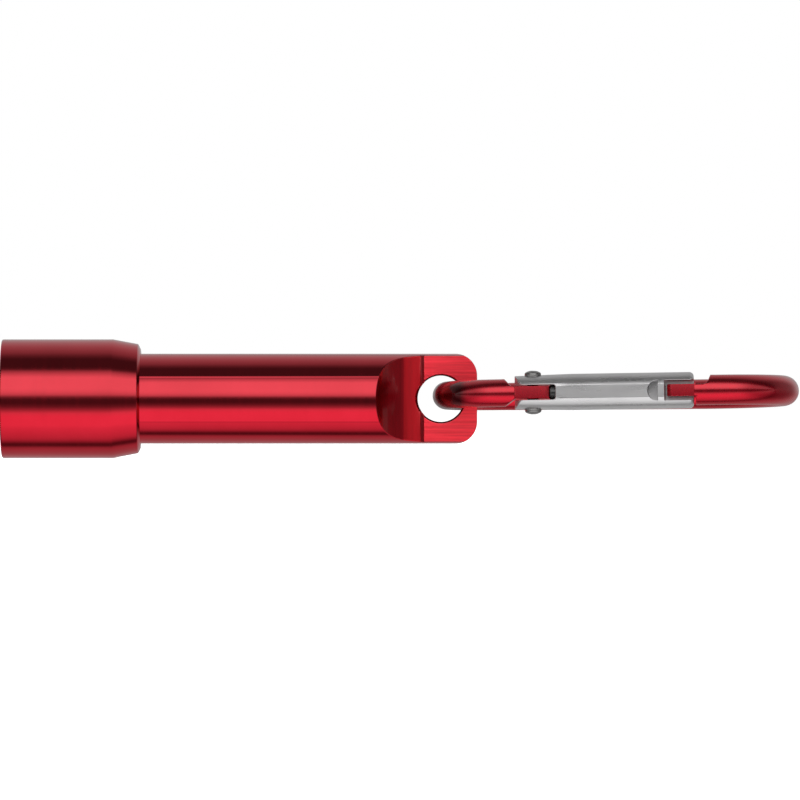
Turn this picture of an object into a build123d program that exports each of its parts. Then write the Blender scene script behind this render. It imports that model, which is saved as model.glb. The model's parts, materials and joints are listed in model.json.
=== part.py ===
from build123d import *
from math import asin, cos, degrees, radians, sin, sqrt
import os

os.makedirs("parts", exist_ok=True)

# Keychain flashlight for one AAA cell, switched by twisting its head, with a small
# sprung carabiner in the eye of its tail. All sizes are in millimetres.
# The light lies along X with its front rim at -X. Z is up, and z = 0 is the surface
# that the head lies on. Distances along the light are measured from its front rim.

# ------------------------------------------------------------- driving dimensions
overall_length = 127.5
light_length = 76.0
head_radius = 9.5
head_length = 22.2
barrel_radius = 7.2

# Head: a cylinder, a shallow taper and a steep chamfer down to the barrel.
head_cylinder_end = 17.8
head_taper_end = 21.8
head_taper_radius = 8.75
head_back_radius = 7.95
front_edge_break = 0.25
optics_bore_radius = 8.3
optics_shoulder = 9.4

# Screw joint between head and barrel.
thread_pitch = 0.8
thread_root_radius = 6.2
thread_depth = 0.43
thread_sink = 0.1
thread_flank_width = 0.34
thread_crest_width = 0.08
thread_start = 12.9
thread_turns = 5
head_thread_bore_radius = 6.75
head_thread_bore_end = 18.0
skirt_bore_radius = 7.28
switch_gap = 0.22

# Barrel bore for the cell, and the neck with its O-ring groove.
cell_bore_radius = 5.5
cell_bore_floor = 60.0
neck_front = 12.0
neck_lead = 0.2
neck_shoulder = 18.6
groove_start = 19.3
groove_end = 20.7
groove_radius = 6.5
oring_wire_radius = 0.38

# Tail: two side cuts by a round cutter leave a flat tongue with a cross hole.
tongue_thickness = 4.5
flat_start = 67.5
cutter_radius = 8.4
relief_width = 0.5
relief_depth = 0.2
tongue_corner_radius = 3.5
tail_hole_radius = 3.7
tail_hole_distance = 70.2
hole_edge_break = 0.25

# AAA cell, and the spring behind it.
cell_length = 44.5
cell_radius = 5.25
cell_front = 12.5
label_thickness = 0.1
label_inset = 1.0
can_wall = 0.45
cap_radius = 1.9
cap_height = 1.0
cap_edge_break = 0.2
cap_flange_radius = 3.4
crimp_radius = 4.3
tail_coil_radius = 3.2
tail_coil_wire = 0.25
tail_coil_turns = 2.5

# Optics and electronics, stacked from the front.
ring_front = 0.3
ring_inner_radius = 7.5
ring_notch = 1.0
lens_front = 1.5
lens_thickness = 1.2
seal_thickness = 0.6
reflector_front = lens_front + lens_thickness + seal_thickness
reflector_back = 7.9
reflector_focal_length = 2.6
reflector_vertex = 8.37
reflector_neck_radius = 2.6
reflector_foot_radius = 4.4
reflector_rim_width = 1.0
led_board_front = 7.95
led_board_thickness = 1.0
led_board_radius = 6.0
pill_web = 0.6
pill_wall = 0.7
led_width = 3.45
led_height = 0.6
led_dome_radius = 1.25
driver_front = 11.0
driver_back = neck_front - switch_gap
driver_radius = 6.65
inductor_size = 2.4
inductor_height = 0.95
inductor_corner = 0.4
inductor_place = (-1.6, 1.6)
chip_height = 0.7
driver_chip = (2.9, 1.6)
driver_chip_place = (1.7, -1.7)
small_chip = (1.6, 0.8)
small_chip_places = [(1.8, 1.2), (-2.2, -2.4)]
contact_radius = 1.5
contact_gap = 0.02
insulator_radius = 5.0
insulator_hole_radius = 2.2
insulator_clearance = 0.1
wire_offset = 5.15
wire_radius = 0.3
wire_hole_radius = 0.45
solder_radius = 0.6
solder_height = 0.4
solder_slope = 35

# Carabiner: two round bows joined by a spine, and a gate opposite the spine. Its rod's
# centre line crosses the tail hole at this distance and height.
clip_distance = 71.1
clip_height = head_radius + 0.5
clip_rise = 0.8
clip_roll = 1.65
hinge_bow_radius = 9.7
hinge_rod_radius = 2.2
nose_bow_radius = 11.5
nose_rod_radius = 2.4
running_clearance = 0.05

# Ends of the carabiner's rod, measured along the gate's leg from the hinge bow.
hinge_upper_shoulder = 1.1
hinge_lower_shoulder = 1.7
tongue_half_thickness = 1.0
tongue_half_width = 1.9
tongue_taper_start = 5.7
tongue_tip = 7.15
tongue_tip_half_width = 1.2
rivet_distance = 4.54
rivet_radius = 0.9
nose_half_thickness = 0.95
nose_tip = 25.85
nose_outer = 2.2
nose_outer_corner = 0.6
nose_inner = 1.3
nose_inner_corner = 0.4
nose_lower_shoulder = 30.45
nose_upper_shoulder = 31.7

# Gate, measured along the same leg.
gate_start = 1.64
gate_end = 30.07
gate_hinge_radius = 2.65
gate_radius = 2.88
gate_swell_end = 10.6
gate_end_break = 0.5
ear_half_gap = 1.2
fork_end = 8.2
groove_half_width = 1.6
groove_floor = 1.4
groove_inner_end = 22.75
web_start = 24.36
web_end = 25.45
press_flat = 2.7
spot_face = 2.45
rivet_head_radius = 1.33
rivet_head_height = 3.5
rivet_dome_height = 0.45
rivet_dome_flat = 0.8
plunger_bore_radius = 1.25
plunger_bore_end = 18.0
plunger_back = 10.0
gate_coil_radius = 0.85
gate_coil_wire = 0.2
gate_coil_turns = 9

# ------------------------------------------------------------- frames of reference
front_x = -overall_length / 2
side = Plane(origin=(front_x, 0, head_radius), x_dir=(1, 0, 0), z_dir=(0, -1, 0))
light_axis = Axis((front_x, 0, head_radius), (1, 0, 0))
from_above = Plane(origin=(front_x, 0, head_radius))
hole_axis = Axis((front_x + tail_hole_distance, 0, head_radius), (0, 1, 0))


def across(distance):
    """The plane across the light at a distance behind the front rim, facing the tail."""
    origin = (front_x + distance, 0, head_radius)
    return Plane(origin=origin, x_dir=(0, 1, 0), z_dir=(1, 0, 0))


def half_section(*points):
    """The closed outline through (distance behind the front rim, radius) points."""
    with BuildSketch(side) as outline:
        with BuildLine():
            Polyline(*points, close=True)
        make_face()
    return outline.sketch


def disc(start, end, radius, hole_radius=0):
    """The sketch and height of a disc or ring about the light's axis."""
    with BuildSketch(across(start)) as outline:
        Circle(radius)
        if hole_radius:
            Circle(hole_radius, mode=Mode.SUBTRACT)
    return extrude(outline.sketch, amount=end - start, mode=Mode.PRIVATE)


def coil(frame, coil_radius, wire_radius, length, turns):
    """A round wire spring that stands on a plane and fills the given length."""
    rise = length - 2 * wire_radius
    with BuildPart() as spring:
        with BuildLine():
            wire = Helix(
                pitch=rise / turns,
                height=rise,
                radius=coil_radius,
                center=frame.from_local_coords((0, 0, wire_radius)),
                direction=frame.z_dir,
            )
        with BuildSketch(Plane(origin=wire @ 0, z_dir=wire % 0)):
            Circle(wire_radius)
        sweep(is_frenet=True)
    return spring


def moved(frame, x=0, y=0, z=0, turn=(0, 0, 0)):
    """A frame shifted along its own axes, then turned about them by degrees."""
    return Plane(frame * Pos(x, y, z) * Rot(*turn))


def save(piece, name):
    """Label a finished piece and write its STEP file."""
    piece.part.label = name
    export_step(piece.part, f"parts/{name}.step")


# ------------------------------------------------------------- barrel
# The neck's thread: one helical ridge of trapezoid section, standing on the root.
with BuildPart() as ridge:
    with BuildLine():
        spiral = Helix(
            pitch=thread_pitch,
            height=thread_pitch * thread_turns,
            radius=thread_root_radius,
            center=(front_x + thread_start, 0, head_radius),
            direction=(1, 0, 0),
        )
    with BuildSketch(Plane(origin=spiral @ 0, x_dir=(1, 0, 0), z_dir=spiral % 0)):
        with BuildLine():
            Polyline(
                (-thread_flank_width, -thread_sink),
                (thread_flank_width, -thread_sink),
                (thread_crest_width, thread_depth),
                (-thread_crest_width, thread_depth),
                close=True,
            )
        make_face()
    sweep(is_frenet=True)

# One turned and milled aluminium tube: threaded neck, grip and tail tongue.
with BuildPart() as barrel:
    revolve(
        half_section(
            (neck_front, cell_bore_radius),
            (neck_front, thread_root_radius - neck_lead),
            (neck_front + neck_lead, thread_root_radius),
            (neck_shoulder, thread_root_radius),
            (neck_shoulder, barrel_radius - neck_lead),
            (neck_shoulder + neck_lead, barrel_radius),
            (groove_start, barrel_radius),
            (groove_start, groove_radius),
            (groove_end, groove_radius),
            (groove_end, barrel_radius),
            (light_length, barrel_radius),
            (light_length, 0),
            (cell_bore_floor, 0),
            (cell_bore_floor, cell_bore_radius),
        ),
        axis=light_axis,
    )
    # The side cuts: a concave run-in, a fine relief line and the flat cheek.
    half_tongue = tongue_thickness / 2
    outside = barrel_radius + 1
    cut_depth = outside - half_tongue
    run_in = sqrt(cutter_radius**2 - (cutter_radius - cut_depth) ** 2)
    with BuildSketch(from_above):
        with BuildLine():
            arc = RadiusArc(
                (flat_start - run_in, outside),
                (flat_start, half_tongue),
                -cutter_radius,
            )
            Polyline(
                arc @ 1,
                (light_length + 1, half_tongue),
                (light_length + 1, outside),
                arc @ 0,
            )
        make_face()
        with Locations((flat_start - relief_width / 2, half_tongue)):
            Rectangle(relief_width, 2 * relief_depth)
        mirror(about=Plane.XZ)
    extrude(amount=head_radius, both=True, mode=Mode.SUBTRACT)
    # The tongue's outline from the side: rounded corners and the cross hole.
    with BuildSketch(side):
        with Locations((light_length / 2, 0)):
            RectangleRounded(light_length, 2 * barrel_radius, tongue_corner_radius)
        with Locations((light_length / 4, 0)):
            Rectangle(light_length / 2, 2 * barrel_radius)
    extrude(amount=head_radius, both=True, mode=Mode.INTERSECT)
    with BuildSketch(side):
        with Locations((tail_hole_distance, 0)):
            Circle(tail_hole_radius)
    extrude(amount=head_radius, both=True, mode=Mode.SUBTRACT)
    # A countersink breaks the hole's edge on both cheeks.
    hole_edge = tail_hole_distance + tail_hole_radius
    with BuildSketch(from_above):
        with BuildLine():
            Polyline(
                (tail_hole_distance, half_tongue - hole_edge_break),
                (hole_edge, half_tongue - hole_edge_break),
                (hole_edge + 2 * hole_edge_break, half_tongue + hole_edge_break),
                (tail_hole_distance, half_tongue + hole_edge_break),
                close=True,
            )
        make_face()
        mirror(about=Plane.XZ)
    revolve(axis=hole_axis, mode=Mode.SUBTRACT)
    add(ridge.part)
save(barrel, "barrel")

# ------------------------------------------------------------- parts on the barrel
# Rubber O-ring in the neck's groove.
with BuildPart() as neck_oring:
    with BuildSketch(side):
        with Locations(((groove_start + groove_end) / 2, groove_radius + oring_wire_radius)):
            Circle(oring_wire_radius)
    revolve(axis=light_axis)
save(neck_oring, "neck_oring")

# Spring between the cell and the floor of the bore.
cell_back = cell_front + cell_length
tail_spring = coil(
    across(cell_back),
    tail_coil_radius,
    tail_coil_wire,
    cell_bore_floor - cell_back,
    tail_coil_turns,
)
save(tail_spring, "tail_spring")

# ------------------------------------------------------------- AAA cell
can_radius = cell_radius - label_thickness
can_front = cell_front + cap_height

# Steel can, crimped in at the front over the seal. Its contents are solid here.
with BuildPart() as battery_can:
    revolve(
        half_section(
            (can_front + can_wall, 0),
            (can_front + can_wall, crimp_radius),
            (can_front, crimp_radius),
            (can_front, can_radius - can_wall),
            (can_front + can_wall, can_radius),
            (cell_back - can_wall, can_radius),
            (cell_back, can_radius - can_wall),
            (cell_back, 0),
        ),
        axis=light_axis,
    )
save(battery_can, "battery_can")

# Shrunk plastic sleeve round the can.
with BuildPart() as battery_label:
    add(disc(can_front + label_inset, cell_back - label_inset, cell_radius, can_radius))
save(battery_label, "battery_label")

# Pressed steel cap: the nub and its flange.
with BuildPart() as battery_positive_cap:
    revolve(
        half_section(
            (cell_front, 0),
            (cell_front, cap_radius - cap_edge_break),
            (cell_front + cap_edge_break, cap_radius),
            (can_front, cap_radius),
            (can_front, cap_flange_radius),
            (can_front + can_wall, cap_flange_radius),
            (can_front + can_wall, 0),
        ),
        axis=light_axis,
    )
save(battery_positive_cap, "battery_positive_cap")

# Nylon ring that keeps the cap's flange away from the can.
with BuildPart() as battery_seal:
    add(disc(can_front, can_front + can_wall, crimp_radius, cap_flange_radius))
save(battery_seal, "battery_seal")

# ------------------------------------------------------------- head
# Turned aluminium shell: optics bore in front, thread bore and skirt behind.
with BuildPart() as head_shell:
    revolve(
        half_section(
            (0, optics_bore_radius),
            (0, head_radius - front_edge_break),
            (front_edge_break, head_radius),
            (head_cylinder_end, head_radius),
            (head_taper_end, head_taper_radius),
            (head_length, head_back_radius),
            (head_length, skirt_bore_radius),
            (head_thread_bore_end, skirt_bore_radius),
            (head_thread_bore_end, head_thread_bore_radius),
            (optics_shoulder, head_thread_bore_radius),
            (optics_shoulder, optics_bore_radius),
        ),
        axis=light_axis,
    )
save(head_shell, "head_shell")

# Ring that holds the window in, with two notches for a pin spanner.
with BuildPart() as lens_ring:
    add(disc(ring_front, lens_front, optics_bore_radius, ring_inner_radius))
    with BuildSketch(across(ring_front)):
        with PolarLocations(ring_inner_radius, 2):
            Rectangle(ring_notch, ring_notch)
    extrude(amount=ring_notch / 2, mode=Mode.SUBTRACT)
save(lens_ring, "lens_ring")

# Clear window.
lens_radius = optics_bore_radius - running_clearance
lens_back = lens_front + lens_thickness
with BuildPart() as front_lens:
    add(disc(lens_front, lens_back, lens_radius))
save(front_lens, "front_lens")

# Rubber ring between the window and the reflector's rim.
with BuildPart() as lens_seal:
    with BuildSketch(side):
        with Locations((lens_back + seal_thickness / 2, lens_radius - seal_thickness / 2)):
            Circle(seal_thickness / 2)
    revolve(axis=light_axis)
save(lens_seal, "lens_seal")


def reflector_curve(distance):
    """The parabola's radius at a distance behind the front rim."""
    return sqrt(4 * reflector_focal_length * (reflector_vertex - distance))


# Plated parabolic cup with a straight neck round the LED.
neck_start = reflector_vertex - reflector_neck_radius**2 / (4 * reflector_focal_length)
cup_steps = [reflector_front + (neck_start - reflector_front) * i / 6 for i in range(7)]
with BuildPart() as reflector:
    with BuildSketch(side):
        with BuildLine():
            bowl = Spline(*[(u, reflector_curve(u)) for u in cup_steps])
            Polyline(
                bowl @ 1,
                (reflector_back, reflector_neck_radius),
                (reflector_back, reflector_foot_radius),
                (reflector_front + reflector_rim_width, lens_radius),
                (reflector_front, lens_radius),
                bowl @ 0,
            )
        make_face()
    revolve(axis=light_axis)
save(reflector, "reflector")

# LED substrate and its clear dome.
led_front = led_board_front - led_height
with BuildPart() as led_package:
    with BuildSketch(across(led_front)):
        Rectangle(led_width, led_width)
    extrude(amount=led_height)
save(led_package, "led_package")

with BuildPart() as led_dome:
    with BuildSketch(side):
        with BuildLine():
            dome = CenterArc((led_front, 0), led_dome_radius, 90, 90)
            Polyline(dome @ 1, (led_front, 0), dome @ 0)
        make_face()
    revolve(axis=light_axis)
save(led_dome, "led_dome")

# Metal-core board under the LED, with a hole for each lead.
led_board_back = led_board_front + led_board_thickness
with BuildPart() as led_board:
    with BuildSketch(across(led_board_front)):
        Circle(led_board_radius)
        with PolarLocations(wire_offset, 2):
            Circle(wire_hole_radius, mode=Mode.SUBTRACT)
    extrude(amount=led_board_thickness)
save(led_board, "led_board")

# Brass carrier: flange on the head's shoulder, hollow behind for the driver's parts.
pill_radius = head_thread_bore_radius - running_clearance
pill_floor = optics_shoulder + pill_web / 2
with BuildPart() as led_pill:
    revolve(
        half_section(
            (led_board_back, 0),
            (led_board_back, lens_radius),
            (optics_shoulder, lens_radius),
            (optics_shoulder, pill_radius),
            (driver_front, pill_radius),
            (driver_front, pill_radius - pill_wall),
            (pill_floor, pill_radius - pill_wall),
            (pill_floor, 0),
        ),
        axis=light_axis,
    )
    with BuildSketch(across(led_board_back)):
        with PolarLocations(wire_offset, 2):
            Circle(wire_hole_radius)
    extrude(amount=driver_front - led_board_back, mode=Mode.SUBTRACT)
save(led_pill, "led_pill")

# Round driver board. The outer ring of its back face meets the neck to switch on.
with BuildPart() as driver_board:
    add(disc(driver_front, driver_back, driver_radius))
save(driver_board, "driver_board")

# Coil choke and chips on the board's front face, inside the carrier.
with BuildPart() as driver_inductor:
    with BuildSketch(across(driver_front)):
        with Locations(inductor_place):
            RectangleRounded(inductor_size, inductor_size, inductor_corner)
    extrude(amount=-inductor_height)
save(driver_inductor, "driver_inductor")

with BuildPart() as driver_chips:
    with BuildSketch(across(driver_front)):
        with Locations(driver_chip_place):
            Rectangle(*driver_chip)
        with Locations(*small_chip_places):
            Rectangle(*small_chip)
    extrude(amount=-chip_height)
save(driver_chips, "driver_chips")

# Two leads, soldered at the driver board and at the LED board's pads.
with BuildPart() as lead_wires:
    with BuildSketch(across(led_board_front)):
        with PolarLocations(wire_offset, 2):
            Circle(wire_radius)
    extrude(amount=driver_front - led_board_front)
    with BuildSketch(across(led_board_front)):
        with PolarLocations(wire_offset, 2):
            Circle(solder_radius)
    extrude(amount=-solder_height, taper=solder_slope)
save(lead_wires, "lead_wires")

# Brass button against the cell's nub.
contact_back = cell_front - contact_gap
with BuildPart() as contact_button:
    add(disc(driver_back, contact_back, contact_radius))
save(contact_button, "contact_button")

# Plastic ring that keeps a reversed cell away from the board.
with BuildPart() as insulator_ring:
    insulator_back = contact_back - insulator_clearance
    add(disc(driver_back, insulator_back, insulator_radius, insulator_hole_radius))
save(insulator_ring, "insulator_ring")

# ------------------------------------------------------------- carabiner frames
# The clip plane holds the rod's centre line. Its origin is in the tail hole, its x runs
# to the far bow, and its -y side carries the gate.
clip = Plane(origin=(front_x + clip_distance, 0, clip_height))
clip = clip.rotated((-clip_roll, -clip_rise, 0))
rod_reach = overall_length - clip_distance - nose_rod_radius
nose_bow_x = rod_reach - nose_bow_radius
leg_angle = degrees(asin((nose_bow_radius - hinge_bow_radius) / (nose_bow_x - hinge_bow_radius)))
leg_length = (nose_bow_x - hinge_bow_radius) * cos(radians(leg_angle))


def bow(center_x, bow_radius, rod_radius, start_angle, sweep_angle):
    """A round rod bent about a point on the clip's x axis."""
    frame = moved(clip, center_x, turn=(0, 0, start_angle))
    section = moved(frame, turn=(90, 0, 0))
    with BuildPart() as bent:
        with BuildSketch(section):
            with Locations((bow_radius, 0)):
                Circle(rod_radius)
        revolve(axis=Axis(frame.origin, frame.z_dir), revolution_arc=sweep_angle)
    return bent.part


# Each leg's frame starts where the hinge bow ends, with x along the leg.
tangent_x = hinge_bow_radius - hinge_bow_radius * sin(radians(leg_angle))
tangent_y = hinge_bow_radius * cos(radians(leg_angle))
spine = moved(clip, tangent_x, tangent_y, turn=(0, 0, leg_angle))
leg = moved(clip, tangent_x, -tangent_y, turn=(0, 0, -leg_angle))
leg_side = moved(leg, turn=(90, 0, 0))
clip_outside = nose_rod_radius + 1


def along_leg(distance):
    """The plane across the gate's leg at a distance from the hinge bow."""
    return moved(leg, distance, turn=(0, 90, 0))


# ------------------------------------------------------------- carabiner rod
with BuildPart() as clip_body:
    add(bow(hinge_bow_radius, hinge_bow_radius, hinge_rod_radius, 90 + leg_angle, 180 - 2 * leg_angle))
    add(bow(nose_bow_x, nose_bow_radius, nose_rod_radius, -90 - leg_angle, 180 + 2 * leg_angle))
    # The spine swells from the hinge bow's rod to the nose bow's.
    with BuildSketch(moved(spine, turn=(0, 90, 0))):
        Circle(hinge_rod_radius)
    with BuildSketch(moved(spine, leg_length, turn=(0, 90, 0))):
        Circle(nose_rod_radius)
    loft()
    # Hinge: sloping shoulders above and below cut the rod down to a flat tongue.
    with BuildSketch(along_leg(0)):
        Circle(hinge_rod_radius)
    extrude(amount=hinge_lower_shoulder)
    with BuildSketch(leg_side):
        for facing, shoulder in ((1, hinge_upper_shoulder), (-1, hinge_lower_shoulder)):
            with BuildLine():
                Polyline(
                    (0, facing * hinge_rod_radius),
                    (shoulder, facing * tongue_half_thickness),
                    (tongue_tip, facing * tongue_half_thickness),
                    (tongue_tip, facing * clip_outside),
                    (0, facing * clip_outside),
                    close=True,
                )
            make_face()
    extrude(amount=clip_outside, both=True, mode=Mode.SUBTRACT)
    with BuildSketch(leg):
        with BuildLine():
            Polyline(
                (hinge_upper_shoulder, tongue_half_width),
                (tongue_taper_start, tongue_half_width),
                (tongue_tip, tongue_tip_half_width),
                (tongue_tip, -tongue_tip_half_width),
                (tongue_taper_start, -tongue_half_width),
                (hinge_upper_shoulder, -tongue_half_width),
                close=True,
            )
        make_face()
    extrude(amount=tongue_half_thickness, both=True)
    with BuildSketch(leg):
        with Locations((rivet_distance, 0)):
            Circle(rivet_radius + running_clearance)
    extrude(amount=clip_outside, both=True, mode=Mode.SUBTRACT)
    # Nose: full rod below the tongue, cut further back and sloping above it.
    with BuildSketch(along_leg(nose_lower_shoulder)):
        Circle(nose_rod_radius)
    extrude(amount=leg_length - nose_lower_shoulder)
    with BuildSketch(leg_side):
        with BuildLine():
            Polyline(
                (nose_tip, nose_half_thickness),
                (nose_upper_shoulder, nose_half_thickness),
                (leg_length, nose_rod_radius),
                (leg_length, clip_outside),
                (nose_tip, clip_outside),
                close=True,
            )
        make_face()
    extrude(amount=clip_outside, both=True, mode=Mode.SUBTRACT)
    with BuildSketch(leg):
        with BuildLine():
            Polyline(
                (leg_length, -nose_outer),
                (nose_tip + nose_outer_corner, -nose_outer),
                (nose_tip, nose_outer_corner - nose_outer),
                (nose_tip, nose_inner - nose_inner_corner),
                (nose_tip + nose_inner_corner, nose_inner),
                (leg_length, nose_inner),
                close=True,
            )
        make_face()
    extrude(amount=nose_half_thickness, both=True)
save(clip_body, "clip_body")

# ------------------------------------------------------------- gate
# Turned aluminium bar, forked at the hinge and grooved for the rod's nose.
gate_outside = gate_radius + 1
with BuildPart() as gate:
    with BuildSketch(leg):
        with BuildLine():
            Polyline(
                (gate_start, 0),
                (gate_start, gate_hinge_radius),
                (gate_swell_end, gate_radius),
                (gate_end - gate_end_break, gate_radius),
                (gate_end, gate_radius - gate_end_break),
                (gate_end, 0),
                close=True,
            )
        make_face()
    revolve(axis=Axis(leg.origin, leg.x_dir))
    # The ears are rounded about the rivet, and the outer face has a narrow flat.
    ear_reach = rivet_distance - gate_start
    with BuildSketch(leg):
        with Locations((rivet_distance, 0)):
            Circle(ear_reach)
        with Locations(((rivet_distance + gate_end) / 2, (ear_reach - press_flat) / 2)):
            Rectangle(gate_end - rivet_distance, ear_reach + press_flat)
    extrude(amount=gate_outside, both=True, mode=Mode.INTERSECT)
    # Fork for the hinge tongue.
    with BuildSketch(leg_side):
        with Locations((fork_end / 2, 0)):
            Rectangle(fork_end, 2 * ear_half_gap)
    extrude(amount=gate_outside, both=True, mode=Mode.SUBTRACT)
    # Groove for the nose, open outwards and at the end, with a web across it.
    groove_start_x = groove_inner_end + groove_half_width
    groove_way_out = gate_end + 1
    with BuildSketch(moved(leg, 0, groove_floor, turn=(90, 0, 0))):
        with BuildLine():
            ThreePointArc(
                (groove_start_x, -groove_half_width),
                (groove_inner_end, 0),
                (groove_start_x, groove_half_width),
            )
            Polyline(
                (groove_start_x, groove_half_width),
                (groove_way_out, groove_half_width),
                (groove_way_out, -groove_half_width),
                (groove_start_x, -groove_half_width),
            )
        make_face()
        with Locations(((web_start + web_end) / 2, 0)):
            Rectangle(web_end - web_start, 2 * groove_half_width, mode=Mode.SUBTRACT)
    extrude(amount=gate_outside + groove_floor, mode=Mode.SUBTRACT)
    # Bore for the spring and plunger, rivet holes and their spot faces.
    with BuildSketch(along_leg(fork_end)):
        Circle(plunger_bore_radius)
    extrude(amount=plunger_bore_end - fork_end, mode=Mode.SUBTRACT)
    with BuildSketch(leg):
        with Locations((rivet_distance, 0)):
            Circle(rivet_radius)
    extrude(amount=gate_outside, both=True, mode=Mode.SUBTRACT)
    for facing in (1, -1):
        with BuildSketch(moved(leg, rivet_distance, z=facing * spot_face)):
            Circle(rivet_head_radius + running_clearance)
        extrude(amount=facing * gate_outside, mode=Mode.SUBTRACT)
save(gate, "gate")

# Steel rivet, peened to a low dome at both ends.
with BuildPart() as gate_rivet:
    with BuildSketch(moved(leg, rivet_distance, turn=(90, 0, 0))):
        with BuildLine():
            Polyline(
                (0, -rivet_head_height),
                (rivet_dome_flat, -rivet_head_height),
                (rivet_head_radius, rivet_dome_height - rivet_head_height),
                (rivet_head_radius, -spot_face),
                (rivet_radius, -spot_face),
                (rivet_radius, spot_face),
                (rivet_head_radius, spot_face),
                (rivet_head_radius, rivet_head_height - rivet_dome_height),
                (rivet_dome_flat, rivet_head_height),
                (0, rivet_head_height),
                close=True,
            )
        make_face()
    rivet_axis = Axis(moved(leg, rivet_distance).origin, leg.z_dir)
    revolve(axis=rivet_axis)
save(gate_rivet, "gate_rivet")

# Plunger in the gate's bore, and the spring behind it.
plunger_radius = plunger_bore_radius - running_clearance
plunger_front = tongue_tip + contact_gap
with BuildPart() as gate_plunger:
    with BuildSketch(along_leg(plunger_front)):
        Circle(plunger_radius)
    extrude(amount=plunger_back - plunger_front)
save(gate_plunger, "gate_plunger")

gate_spring = coil(
    along_leg(plunger_back),
    gate_coil_radius,
    gate_coil_wire,
    plunger_bore_end - plunger_back,
    gate_coil_turns,
)
save(gate_spring, "gate_spring")
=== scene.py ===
import json
import math

import bmesh
import bpy
from mathutils import Matrix, Vector, noise


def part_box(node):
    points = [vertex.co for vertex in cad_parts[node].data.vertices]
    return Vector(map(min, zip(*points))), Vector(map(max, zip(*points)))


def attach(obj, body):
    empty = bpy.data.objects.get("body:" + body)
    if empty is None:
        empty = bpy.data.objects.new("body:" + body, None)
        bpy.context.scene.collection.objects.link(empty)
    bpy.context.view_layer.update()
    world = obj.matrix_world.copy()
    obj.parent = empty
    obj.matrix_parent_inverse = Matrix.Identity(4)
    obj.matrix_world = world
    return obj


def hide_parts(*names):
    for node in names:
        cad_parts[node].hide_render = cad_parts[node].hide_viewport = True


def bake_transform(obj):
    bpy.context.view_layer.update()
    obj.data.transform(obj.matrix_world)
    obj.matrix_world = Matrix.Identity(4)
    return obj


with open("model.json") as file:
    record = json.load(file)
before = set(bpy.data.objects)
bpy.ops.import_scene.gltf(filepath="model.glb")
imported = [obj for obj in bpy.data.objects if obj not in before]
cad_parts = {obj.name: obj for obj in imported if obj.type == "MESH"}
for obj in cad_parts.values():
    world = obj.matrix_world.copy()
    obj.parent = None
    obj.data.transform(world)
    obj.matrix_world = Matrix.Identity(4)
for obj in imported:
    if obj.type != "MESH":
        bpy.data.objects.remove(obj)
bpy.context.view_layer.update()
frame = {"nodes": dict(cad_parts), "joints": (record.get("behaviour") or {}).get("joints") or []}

# ---------------------------------------------------------------- head shell
# The head is one turned piece of aluminium, polished and anodised bright red. It screws
# over the barrel's neck, and its back end slopes down to the barrel.
MM = 0.001
head_low, head_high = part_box("head_shell")
head_radius = (head_high.z - head_low.z) / 2 / MM
head_length = (head_high.x - head_low.x) / MM
light_front = Vector((head_low.x, 0, (head_low.z + head_high.z) / 2))
light = Matrix.Translation(light_front) @ Matrix.Scale(MM, 4)

head_cylinder_end = 17.8
head_taper_end = 21.8
head_taper_radius = 8.75
head_back_radius = 7.95
optics_bore_radius = 8.3
optics_shoulder = 9.4
thread_bore_radius = 6.75
thread_bore_end = 18.0
skirt_bore_radius = 7.28


def rounded(corners, steps=5):
    """A closed outline in which each corner (x, y, radius) has become a short arc."""
    outline = []
    for index, corner in enumerate(corners):
        here = Vector(corner[:2])
        radius = corner[2] if len(corner) > 2 else 0
        if not radius:
            outline.append(here)
            continue
        back = (Vector(corners[index - 1][:2]) - here).normalized()
        ahead = (Vector(corners[(index + 1) % len(corners)][:2]) - here).normalized()
        half = back.angle(ahead) / 2
        centre = here + (back + ahead).normalized() * radius / math.sin(half)
        first = here + back * radius / math.tan(half) - centre
        last = here + ahead * radius / math.tan(half) - centre
        turn = first.angle(last)
        for step in range(steps + 1):
            share = step / steps
            spoke = first * math.sin((1 - share) * turn) + last * math.sin(share * turn)
            outline.append(centre + spoke / math.sin(turn))
    return outline


def turned(outline, segments=200):
    """A turned form: a closed outline of (distance, radius) spun about the x axis."""
    form = bmesh.new()
    rings = []
    for k in range(segments):
        angle = 2 * math.pi * k / segments
        spin = (math.cos(angle), math.sin(angle))
        rings.append([form.verts.new((p[0], p[1] * spin[0], p[1] * spin[1])) for p in outline])
    for k in range(segments):
        ring, after = rings[k], rings[(k + 1) % segments]
        for i in range(len(outline)):
            j = (i + 1) % len(outline)
            if outline[i][1] > 1e-6 or outline[j][1] > 1e-6:
                form.faces.new((ring[i], ring[j], after[j], after[i]))
    bmesh.ops.remove_doubles(form, verts=form.verts, dist=1e-5)
    bmesh.ops.recalc_face_normals(form, faces=form.faces)
    return form


def placed(name, form, finish):
    """Turns a form into an object of one finish, and adds it to the scene."""
    mesh = bpy.data.meshes.new(name)
    form.to_mesh(mesh)
    form.free()
    mesh.materials.append(finish)
    made = bpy.data.objects.new(name, mesh)
    bpy.context.scene.collection.objects.link(made)
    return made


def piece(name, form, place, body, finish, stands_for, edge=0):
    """Puts a form (in mm) in place as a finished piece that rides on its body. Edges
    sharper than 30 degrees are broken by the given width in mm."""
    bmesh.ops.transform(form, matrix=place, verts=form.verts)
    made = placed(name, form, finish)
    made.data.shade_smooth()
    if edge:
        broken = made.modifiers.new("broken_edges", "BEVEL")
        broken.width = edge * MM
        broken.segments = 2
        broken.angle_limit = math.radians(30)
        broken.loop_slide = False
        broken.use_clamp_overlap = False
    evened = made.modifiers.new("even_normals", "WEIGHTED_NORMAL")
    evened.keep_sharp = True
    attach(made, body)
    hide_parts(stands_for)
    return made


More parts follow.
